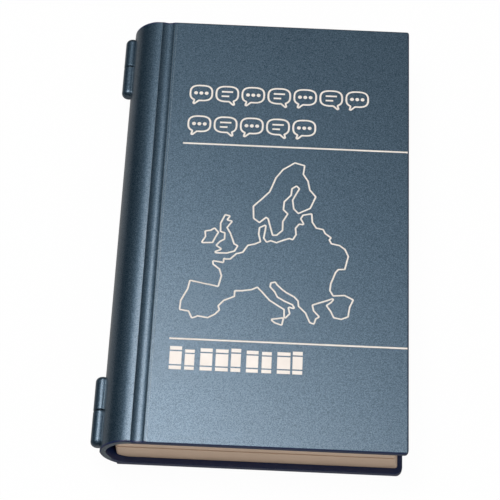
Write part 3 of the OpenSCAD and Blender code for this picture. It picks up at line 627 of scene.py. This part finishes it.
def dressNodes():
    for name, node in nodes.items():
        if name in keyNodes:
            material = keyBlueMat if name.removeprefix("key_") in functionKeys else keyMat
        else:
            material = nodeFinish[name]
        node.data.materials.clear()
        node.data.materials.append(material)


dressNodes()
print("materials made")


# the groove beside the spine: where the solid's begins and ends, and how it is drawn out here
groove = {
    "from": 8.7, "to": 12.45, "above": 17.0, "widen": 0.85, "depth": 0.8,
    "creaseFrom": 11.86, "creaseDepth": 0.36,
}


# how a corner of the front cover moves: along x, and its depth below the board's face
def grooveChange(point):
    across, height = (point.x - spineBack) / mm, point.z / mm
    if not (groove["from"] < across < groove["to"] and height > groove["above"]):
        return None
    share = (across - groove["from"]) / (groove["to"] - groove["from"])
    depth = groove["creaseDepth"] if across > groove["creaseFrom"] else groove["depth"]
    return share * groove["widen"] * mm, depth


# the front cover, with a wider and softer groove than the solid's
def makeFrontCover():
    mesh = nodes["front_cover"].data.copy()
    normals = [corner.vector.copy() for corner in mesh.corner_normals]
    body = bmesh.new()
    body.from_mesh(mesh)
    kept = body.loops.layers.float_vector.new("kept")
    stretch = 1 + groove["widen"] / (groove["to"] - groove["from"])
    corners = [corner for face in body.faces for corner in face.loops]
    for corner, normal in zip(corners, normals):
        change = grooveChange(corner.vert.co)
        if change:
            normal = Vector((normal.x / stretch, normal.y, normal.z / change[1])).normalized()
        corner[kept] = normal
    bmesh.ops.remove_doubles(body, verts=body.verts[:], dist=weld)
    for vertex in body.verts:
        change = grooveChange(vertex.co)
        if change:
            vertex.co.x += change[0]
            vertex.co.z = boardEnd.z - (boardEnd.z - vertex.co.z) * change[1]
    body.to_mesh(mesh)
    body.free()
    mesh.normals_split_custom_set([corner.vector for corner in mesh.attributes["kept"].data])
    mesh.attributes.remove(mesh.attributes["kept"])
    piece = addObject("cover_front", mesh)
    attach(piece, "lid")
    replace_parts(piece, "front_cover")


makeFrontCover()
print("front cover made")


def newTree(name, inputs):
    tree = bpy.data.node_groups.new(name, "GeometryNodeTree")
    tree.interface.new_socket("Geometry", in_out="INPUT", socket_type="NodeSocketGeometry")
    for label, kind in inputs.items():
        tree.interface.new_socket(label, in_out="INPUT", socket_type="NodeSocket" + kind)
    tree.interface.new_socket("Geometry", in_out="OUTPUT", socket_type="NodeSocketGeometry")
    return tree, tree.nodes.new("NodeGroupInput"), tree.nodes.new("NodeGroupOutput")


# what every tree ends in: real geometry with its material
def endTree(tree, geometry, given, made):
    link = tree.links.new
    real = addNode(tree, "GeometryNodeRealizeInstances")
    dress = addNode(tree, "GeometryNodeSetMaterial")
    link(geometry, real.inputs[0])
    link(real.outputs[0], dress.inputs["Geometry"])
    link(given.outputs["Material"], dress.inputs["Material"])
    link(dress.outputs[0], made.inputs["Geometry"])


ink = {"halfWidth": 0.3 * mm, "thickness": 0.03 * mm, "corner": 0.25 * mm, "cornerSteps": 3, "sides": 8}


# a line of ink or a lead along the mesh's edges; Flatness 1 keeps it round
def makeStrokeTree():
    tree, given, made = newTree("stroke", {
        "Half Width": "Float", "Flatness": "Float", "Corner": "Float", "Sides": "Int",
        "Material": "Material"})
    link = tree.links.new
    path = addNode(tree, "GeometryNodeMeshToCurve")
    corner = addNode(tree, "GeometryNodeFilletCurve",
                     {"Count": ink["cornerSteps"], "Limit Radius": True}, mode="POLY")
    profile = addNode(tree, "GeometryNodeCurvePrimitiveCircle")
    sweep = addNode(tree, "GeometryNodeCurveToMesh", {"Fill Caps": True})
    scale = addNode(tree, "ShaderNodeCombineXYZ", {"X": 1.0, "Y": 1.0})
    flatten = addNode(tree, "GeometryNodeTransform")
    smooth = addNode(tree, "GeometryNodeSetShadeSmooth")
    link(given.outputs["Geometry"], path.inputs[0])
    link(path.outputs[0], corner.inputs["Curve"])
    link(given.outputs["Corner"], corner.inputs["Radius"])
    link(given.outputs["Half Width"], profile.inputs["Radius"])
    link(given.outputs["Sides"], profile.inputs["Resolution"])
    link(corner.outputs[0], sweep.inputs["Curve"])
    link(profile.outputs[0], sweep.inputs["Profile Curve"])
    link(given.outputs["Flatness"], scale.inputs["Z"])
    link(sweep.outputs[0], flatten.inputs["Geometry"])
    link(scale.outputs[0], flatten.inputs["Scale"])
    link(flatten.outputs[0], smooth.inputs["Geometry"])
    endTree(tree, smooth.outputs[0], given, made)
    return tree


# copies of a small shape in a row, each as wide and high as chance gives it
def makeRowTree():
    tree, given, made = newTree("row", {
        "Count": "Int", "Step": "Vector", "Least Scale": "Vector", "Seed": "Int",
        "Material": "Material"})
    link = tree.links.new
    line = addNode(tree, "GeometryNodeMeshLine")
    chance = addNode(tree, "FunctionNodeRandomValue", data_type="FLOAT_VECTOR")
    chance.inputs[1].default_value = (1, 1, 1)
    spread = addNode(tree, "GeometryNodeInstanceOnPoints")
    link(given.outputs["Count"], line.inputs["Count"])
    link(given.outputs["Step"], line.inputs["Offset"])
    link(given.outputs["Least Scale"], chance.inputs[0])
    link(given.outputs["Seed"], chance.inputs["Seed"])
    link(line.outputs[0], spread.inputs["Points"])
    link(given.outputs["Geometry"], spread.inputs["Instance"])
    link(chance.outputs[0], spread.inputs["Scale"])
    endTree(tree, spread.outputs[0], given, made)
    return tree


strokeTree = makeStrokeTree()
rowTree = makeRowTree()


# adds the tree to the piece with its inputs set, before the piece is first evaluated
def runTree(piece, tree, values):
    modifier = piece.modifiers.new(tree.name, "NODES")
    modifier.node_group = tree
    for item in tree.interface.items_tree:
        if item.in_out == "INPUT" and item.name in values:
            modifier[item.identifier] = values[item.name]


# the piece's evaluated shape as a plain mesh, moved to its place
def settle(piece, place=(0, 0, 0)):
    name = piece.name
    graph = bpy.context.evaluated_depsgraph_get()
    mesh = bpy.data.meshes.new_from_object(piece.evaluated_get(graph))
    bpy.data.objects.remove(piece)
    for vertex in mesh.vertices:
        vertex.co += Vector(place)
    mesh.update()
    return addObject(name, mesh)


# edges along each outline: (points, closed)
def outlinePiece(name, outlines):
    points, edges = [], []
    for outline, closed in outlines:
        start = len(points)
        points += outline
        edges += [(start + i, start + i + 1) for i in range(len(outline) - 1)]
        if closed:
            edges.append((len(points) - 1, start))
    mesh = bpy.data.meshes.new(name)
    mesh.from_pydata(points, edges, [])
    return addObject(name, mesh)


def inkStroke(halfWidth=ink["halfWidth"]):
    return {"Half Width": halfWidth, "Flatness": ink["thickness"] / halfWidth,
            "Corner": ink["corner"], "Sides": ink["sides"], "Material": inkMat}


rules = {"along": [26.3, -38.3], "from": 17.55, "to": 84.4}


def makeRules():
    lines = [([(rules["from"] * mm, y * mm, 0), (rules["to"] * mm, y * mm, 0)], False)
             for y in rules["along"]]
    piece = outlinePiece("print_rules", lines)
    runTree(piece, strokeTree, inkStroke())
    piece = settle(piece, onBoard(0, 0))
    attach(piece, "lid")


# two rows of speech balloons
balloons = {
    "rows": [(7, 18.75, 41.6), (5, 18.75, 30.6)],   # how many, from the spine's back, from the middle
    "step": 7.85, "width": 6.6, "height": 5.4, "points": 32,
    "square": 0.7,   # 1 is an ellipse, less is squarer
    # the tail: its drop, and then shares of the half width and of the half height
    "tail": 1.7, "tailFrom": 0.1, "tailTo": 0.6, "tailTip": 0.75, "tailBelow": 0.8,
    "dot": 0.35, "dotStep": 1.6, "dotSides": 6,
    "lines": [(-1.7, 1.7, 0.8), (-1.7, 0.6, -0.8)],   # from, to, how high
}


def squared(part):
    return math.copysign(abs(part) ** balloons["square"], part)


def balloonOutline(tailSide):
    wide, high = balloons["width"] * mm / 2, balloons["height"] * mm / 2
    points = []
    for i in range(balloons["points"]):
        a = math.tau * (i + 0.5) / balloons["points"] - math.pi / 2
        points.append((wide * squared(math.cos(a)), high * squared(math.sin(a)), 0))
    # the tail leaves the lower side and comes back beside it
    low = [i for i, (x, y, z) in enumerate(points) if y < -balloons["tailBelow"] * high
           and balloons["tailFrom"] * wide < x * tailSide < balloons["tailTo"] * wide]
    tip = (tailSide * balloons["tailTip"] * wide, -high - balloons["tail"] * mm, 0)
    points[low[0]:low[-1] + 1] = [points[low[0]], tip, points[low[-1]]]
    return points


# what stands in a balloon: three dots, or two short lines
def balloonTalk(tailSide):
    if tailSide > 0:
        return [([(start * mm, y * mm, 0), (end * mm, y * mm, 0)], False)
                for start, end, y in balloons["lines"]]
    reach, sides = balloons["dot"] * mm, balloons["dotSides"]
    ring = [(reach * math.cos(math.tau * i / sides), reach * math.sin(math.tau * i / sides))
            for i in range(sides)]
    return [([(place * balloons["dotStep"] * mm + x, y, 0) for x, y in ring], True)
            for place in (-1, 0, 1)]


# in each row the two kinds of balloon take turns
def makeBalloons():
    for row, (count, across, along) in enumerate(balloons["rows"]):
        for tailSide in (-1, 1):
            first = 0 if tailSide < 0 else 1
            piece = outlinePiece(f"print_balloons_{row + 1}{'a' if tailSide < 0 else 'b'}",
                                 [(balloonOutline(tailSide), True)] + balloonTalk(tailSide))
            runTree(piece, strokeTree, inkStroke())
            runTree(piece, rowTree, {
                "Count": (count + 1 - first) // 2, "Step": (2 * balloons["step"] * mm, 0, 0),
                "Least Scale": (1, 1, 1), "Seed": 1, "Material": inkMat})
            shift = across + balloons["width"] / 2 + first * balloons["step"]
            piece = settle(piece, onBoard(shift, along + balloons["height"] / 2))
            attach(piece, "lid")


# a plain outline map: coasts as (east, north) in degrees
coasts = {
    "mainland": [
        (10.5, 57.7), (8.2, 57.0), (8.1, 55.6), (8.9, 54.0), (7.0, 53.4), (4.9, 53.0), (3.6, 51.4),
        (1.7, 50.9), (0.2, 49.6), (-1.2, 49.4), (-1.8, 49.7), (-1.5, 48.6), (-4.7, 48.5),
        (-4.3, 47.8), (-2.2, 47.1),
        (-1.2, 45.8), (-1.4, 43.5), (-4.0, 43.5), (-9.0, 43.3), (-8.8, 41.5), (-9.4, 38.8), (-8.9, 37.0),
        (-6.8, 37.2), (-5.6, 36.0), (-4.4, 36.7), (-2.1, 36.8), (-0.6, 37.8), (0.2, 38.8), (-0.3, 39.6),
        (0.8, 40.9), (3.2, 42.0), (3.1, 43.2), (5.0, 43.4), (7.4, 43.8), (8.9, 44.4), (10.3, 43.4),
        (12.2, 41.8), (14.3, 40.7), (15.8, 39.9), (15.7, 37.9), (17.1, 39.0), (16.8, 40.4), (18.5, 39.9),
        (17.9, 40.8), (16.0, 41.6), (14.2, 42.5), (13.5, 43.6), (12.3, 44.6), (12.5, 45.4), (13.7, 45.6),
        (14.2, 45.0), (15.4, 44.1), (16.5, 43.4), (18.5, 42.4), (19.4, 41.5), (19.4, 40.4), (20.9, 38.9),
        (21.6, 36.9), (22.5, 36.5), (23.1, 37.5), (24.0, 37.8), (22.9, 39.2), (22.8, 40.4), (24.2, 40.6),
        (26.0, 40.8), (28.7, 41.1), (27.4, 40.3), (26.2, 39.9), (26.9, 38.6), (27.3, 37.2), (28.9, 36.6),
        (30.6, 36.8), (31.6, 38.6), (33.0, 39.9), (31.2, 41.2), (28.4, 41.6), (27.9, 42.8), (28.6, 44.2),
        (29.6, 45.2), (30.6, 46.2), (31.6, 46.7), (33.4, 46.4), (35.6, 48.8), (35.4, 50.4), (34.2, 51.5),
        (31.9, 52.3), (31.6, 53.2), (32.4, 53.5), (30.9, 54.7), (30.6, 55.6), (28.4, 56.2),
        (27.5, 57.6), (28.0, 59.4), (24.6, 59.4), (23.5, 58.7),
        (24.4, 57.3), (22.6, 57.6), (21.1, 56.8), (21.0, 55.4), (19.7, 54.4), (18.6, 54.7),
        (16.5, 54.4), (14.2, 53.9), (12.3, 54.3), (10.9, 54.0), (9.9, 54.8), (10.3, 56.5),
    ],
    "peninsula": [
        (11.2, 59.0), (10.4, 59.3), (8.0, 58.1), (5.7, 58.9), (5.0, 61.5), (8.5, 63.4), (11.5, 64.9),
        (14.5, 68.0), (18.5, 69.8), (25.5, 71.0), (30.5, 70.0), (28.6, 68.2), (30.0, 66.5), (29.7, 64.6),
        (31.4, 62.8), (27.9, 60.6), (22.9, 59.9), (21.4, 61.0), (21.4, 62.9), (25.2, 65.2), (24.1, 65.9),
        (21.8, 65.4), (21.0, 64.0), (17.8, 62.7), (17.2, 61.0), (18.8, 60.0), (16.7, 58.4),
        (16.4, 56.5), (14.3, 55.5), (12.9, 55.5), (11.8, 57.8),
    ],
    "greatIsland": [
        (-5.1, 58.6), (-3.1, 58.6), (-4.0, 57.6), (-1.9, 57.6), (-3.2, 56.0), (-1.6, 55.0), (-0.2, 53.6),
        (0.4, 52.9), (1.7, 52.6), (1.0, 51.4), (-1.2, 50.7), (-3.5, 50.4), (-5.6, 50.1), (-3.0, 51.3),
        (-5.1, 51.8), (-4.2, 52.8), (-3.0, 53.5), (-3.4, 54.8), (-5.0, 54.9), (-5.8, 56.6),
    ],
    "westIsland": [(-6.1, 53.4), (-6.4, 52.2), (-9.8, 51.5), (-9.2, 53.0), (-10.0, 54.1), (-8.3, 54.6),
                   (-7.3, 55.3), (-5.6, 54.6)],
    "southIslands": [(12.5, 37.9), (15.6, 38.2), (15.1, 36.7), (13.5, 37.2)],
}
chart = {
    "middle": (10.5, 53.0), "degree": 1.48, "stretch": 1.045, "across": 43.3, "along": -7.7,
    "halfWidth": 0.26 * mm,
}


# a conic projection about the chart's middle, in millimetres
def onChart(east, north):
    standard = math.radians(chart["middle"][1])
    radius = 1 / math.tan(standard) + standard - math.radians(north)
    turn = math.radians(east - chart["middle"][0]) * math.sin(standard)
    degree = math.degrees(1) * chart["degree"]
    northward = 1 / math.tan(standard) - radius * math.cos(turn)
    return radius * math.sin(turn) * degree, northward * degree * chart["stretch"]


def makeChart():
    lines = []
    for coast in coasts.values():
        flat = [onChart(*point) for point in coast]
        lines.append(([(x * mm, y * mm, 0) for x, y in flat], True))
    piece = outlinePiece("print_chart", lines)
    runTree(piece, strokeTree, inkStroke(chart["halfWidth"]))
    piece = settle(piece, onBoard(chart["across"], chart["along"]))
    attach(piece, "lid")


# a shelf of plain book spines
shelf = {
    "count": 9, "step": 4.3, "width": 3.7, "height": 7.2, "across": 17.95, "along": -47.8,
    "bands": [(0, 0.16), (0.22, 0.78), (0.84, 1)],   # inked shares of a spine's height
    "least": (0.72, 0.86, 1), "seed": 4,   # the smallest spine, as shares of the largest
}


def makeShelf():
    mesh = bpy.data.meshes.new("print_shelf")
    body = bmesh.new()
    for low, high in shelf["bands"]:
        made = bmesh.ops.create_cube(body, size=1)
        for vertex in made["verts"]:
            vertex.co.x = (vertex.co.x + 0.5) * shelf["width"] * mm
            vertex.co.y = (low if vertex.co.y < 0 else high) * shelf["height"] * mm
            vertex.co.z *= 2 * ink["thickness"]
    body.to_mesh(mesh)
    body.free()
    piece = addObject("print_shelf", mesh)
    runTree(piece, rowTree, {
        "Count": shelf["count"], "Step": (shelf["step"] * mm, 0, 0),
        "Least Scale": shelf["least"], "Seed": shelf["seed"], "Material": inkMat})
    piece = settle(piece, onBoard(shelf["across"], shelf["along"]))
    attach(piece, "lid")


makeRules()
makeBalloons()
makeChart()
makeShelf()
print("print on the lid made")


legend = {
    "size": 4.4 * mm, "wordSize": 3.0 * mm, "thickness": 0.12 * mm, "stand": 0.015 * mm,
    "crown": 16 * mm, "strip": 0.4 * mm, "curveSteps": 3,   # crown is the radius of the key's top
    "arrow": 1.7 * mm, "arrowBack": 125,   # from the middle to a corner; the back corners' angle
    "words": {"menu": "MENU", "back": "BACK", "language": "LANGUAGE", "clear": "CLEAR", "enter": "ENTER",
              "space": "SPACE"},
    "arrows": {"up": 90, "left": 180, "down": -90, "right": 0},
}


def textMesh(name, words, size):
    curve = bpy.data.curves.new(name, "FONT")
    curve.body = words
    curve.size = size
    curve.align_x = "CENTER"
    curve.align_y = "CENTER"
    curve.extrude = legend["thickness"] / 2
    curve.resolution_u = legend["curveSteps"]
    return settle(addObject(name, curve))


# cuts a flat shape into strips, so that it can follow the key's crown
def cutInStrips(mesh):
    body = bmesh.new()
    body.from_mesh(mesh)
    count = math.ceil(legend["size"] / legend["strip"] / 2)
    for i in range(-count, count + 1):
        bmesh.ops.bisect_plane(body, geom=body.verts[:] + body.edges[:] + body.faces[:],
                               plane_co=(0, i * legend["strip"], 0), plane_no=(0, 1, 0))
    body.to_mesh(mesh)
    body.free()


# a triangle that points along turn degrees from the key's right
def arrowMesh(name, turn):
    angles = [math.radians(turn + a) for a in (0, legend["arrowBack"], -legend["arrowBack"])]
    corners = [(legend["arrow"] * math.cos(a), legend["arrow"] * math.sin(a)) for a in angles]
    high = legend["thickness"] / 2
    mesh = bpy.data.meshes.new(name)
    mesh.from_pydata([(x, y, z) for z in (-high, high) for x, y in corners], [],
                     [(2, 1, 0), (3, 4, 5), (0, 1, 4, 3), (1, 2, 5, 4), (2, 0, 3, 5)])
    return addObject(name, mesh)


def makeLegends():
    for nodeName in keyNodes:
        key = nodeName.removeprefix("key_")
        low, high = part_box(nodeName)
        middle = (low + high) / 2
        name = "legend_" + key
        if key in legend["arrows"]:
            piece = arrowMesh(name, legend["arrows"][key])
        elif key in legend["words"]:
            piece = textMesh(name, legend["words"][key], legend["wordSize"])
        else:
            piece = textMesh(name, key.upper(), legend["size"])
        cutInStrips(piece.data)
        for vertex in piece.data.vertices:
            x, y, z = vertex.co
            drop = legend["crown"] - math.sqrt(legend["crown"] ** 2 - y ** 2)
            top = high.z + legend["stand"] - legend["thickness"] / 2 - drop
            vertex.co = (middle.x - y, middle.y + x, top + z)
        piece.data.materials.clear()
        piece.data.materials.append(inkMat if key in functionKeys else darkInkMat)
        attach(piece, nodeName)


makeLegends()
print("legends made")


mat = {
    # a dome's height over the sheet and depth in it, and its radius at foot and top
    "domeHeight": 0.6 * mm, "sunk": 0.05 * mm, "foot": 2.2 * mm, "top": 1.32 * mm, "sides": 24,
    "pressed": 0.12,   # share of its height that is left under a pressed key
}


def addMatPiece(name, body):
    mesh = bpy.data.meshes.new(name)
    body.to_mesh(mesh)
    body.free()
    mesh.materials.append(nodeFinish["keypad_mat"])
    piece = addObject(name, mesh)
    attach(piece, "base")
    return piece


# the rubber sheet under the keys, and on it a dome under each key
def makeKeypadMat():
    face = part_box("keypad_mat")[1].z - mat["domeHeight"]
    body = bmesh.new()
    body.from_mesh(nodes["keypad_mat"].data)
    bmesh.ops.remove_doubles(body, verts=body.verts[:], dist=weld)
    for vertex in body.verts:
        vertex.co.z = min(vertex.co.z, face)
    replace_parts(addMatPiece("mat_sheet", body), "keypad_mat")
    depth = mat["domeHeight"] + mat["sunk"]
    for name in keyNodes:
        low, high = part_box(name)
        foot = Vector(((low.x + high.x) / 2, (low.y + high.y) / 2, face - mat["sunk"]))
        body = bmesh.new()
        made = bmesh.ops.create_cone(body, cap_ends=True, segments=mat["sides"], radius1=mat["foot"],
                                     radius2=mat["top"], depth=depth)
        for vertex in made["verts"]:
            vertex.co += foot + Vector((0, 0, depth / 2))
        piece = addMatPiece("dome_" + name.removeprefix("key_"), body)
        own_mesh(piece)


makeKeypadMat()
print("keypad mat made")


windowPrint = {
    # from the window's edges to the print's outer edge, and to the clear view's ends and sides
    "margin": 0.3 * mm, "ends": 10 * mm, "sides": 7.5 * mm,
    "round": 1.6 * mm, "roundSteps": 4, "thickness": 0.04 * mm, "depth": 0.03 * mm,
}


# a rectangle with rounded corners, anticlockwise
def roundedOutline(low, high, radius, z):
    left, right = low.x + radius, high.x - radius
    front, back = low.y + radius, high.y - radius
    steps = windowPrint["roundSteps"]
    points = []
    for i, (x, y) in enumerate(((right, back), (left, back), (left, front), (right, front))):
        for part in range(steps + 1):
            a = math.radians(90 * (i + part / steps))
            points.append((x + radius * math.cos(a), y + radius * math.sin(a), z))
    return points


# the dark frame printed on the window's back, with the view left clear
def makeWindowPrint():
    low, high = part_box("display_window")
    top = high.z - windowPrint["depth"]
    mesh = bpy.data.meshes.new("window_print")
    body = bmesh.new()
    rings = []
    for ends, sides in (("margin", "margin"), ("ends", "sides")):
        inset = Vector((windowPrint[sides], windowPrint[ends], 0))
        for z in (top - windowPrint["thickness"], top):
            outline = roundedOutline(low + inset, high - inset, windowPrint["round"], z)
            rings.append([body.verts.new(point) for point in outline])
    outerLow, outerHigh, innerLow, innerHigh = rings
    for i in range(len(outerLow)):
        j = (i + 1) % len(outerLow)
        body.faces.new((outerLow[i], outerLow[j], outerHigh[j], outerHigh[i]))
        body.faces.new((innerLow[j], innerLow[i], innerHigh[i], innerHigh[j]))
        body.faces.new((outerHigh[i], outerHigh[j], innerHigh[j], innerHigh[i]))
        body.faces.new((outerLow[j], outerLow[i], innerLow[i], innerLow[j]))
    body.to_mesh(mesh)
    body.free()
    piece = addObject("window_print", mesh)
    mesh.materials.append(frameMat)
    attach(piece, "lid")


makeWindowPrint()
print("window print made")


lead = {
    "radius": 0.58, "sides": 12, "piece": 0.5,
    # across from the spine's back, along the spine, and above the table
    "route": [
        (9.6, 64.8, 5.8), (6.45, 64.8, 5.9), (2.875, 64.8, 6.55), (-0.65, 64.8, 9.0), (-0.65, 55.05, 9.0),
        (2.875, 55.05, 11.45), (6.45, 55.05, 12.05), (15.55, 55.05, 14.65), (19.55, 55.05, 14.65),
    ],
    "turnsFrom": 63.8, "turnsTo": 56.2,   # where along the spine it starts and ends to twist
}


# one round jacketed lead, cut into short lengths
def makeLead():
    route = [Vector((spineBack + x * mm, y * mm, z * mm)) for x, y, z in lead["route"]]
    points = []
    for a, b in zip(route, route[1:]):
        count = max(1, round((b - a).length / (lead["piece"] * mm)))
        points += [a.lerp(b, i / count) for i in range(count)]
    points.append(route[-1])
    eased = [(a + b * 2 + c) / 4 for a, b, c in zip(points, points[1:], points[2:])]
    smooth = [points[0]] + eased + [points[-1]]
    piece = outlinePiece("hinge_lead", [([tuple(p) for p in smooth], False)])
    runTree(piece, strokeTree, {
        "Half Width": lead["radius"] * mm, "Flatness": 1.0, "Corner": 0.0,
        "Sides": lead["sides"], "Material": wireMat})
    piece = settle(piece)
    # the route's fourth point lies on the hinge's axis
    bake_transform(piece)
    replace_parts(piece, "hinge_wires")


makeLead()
print("hinge lead made")
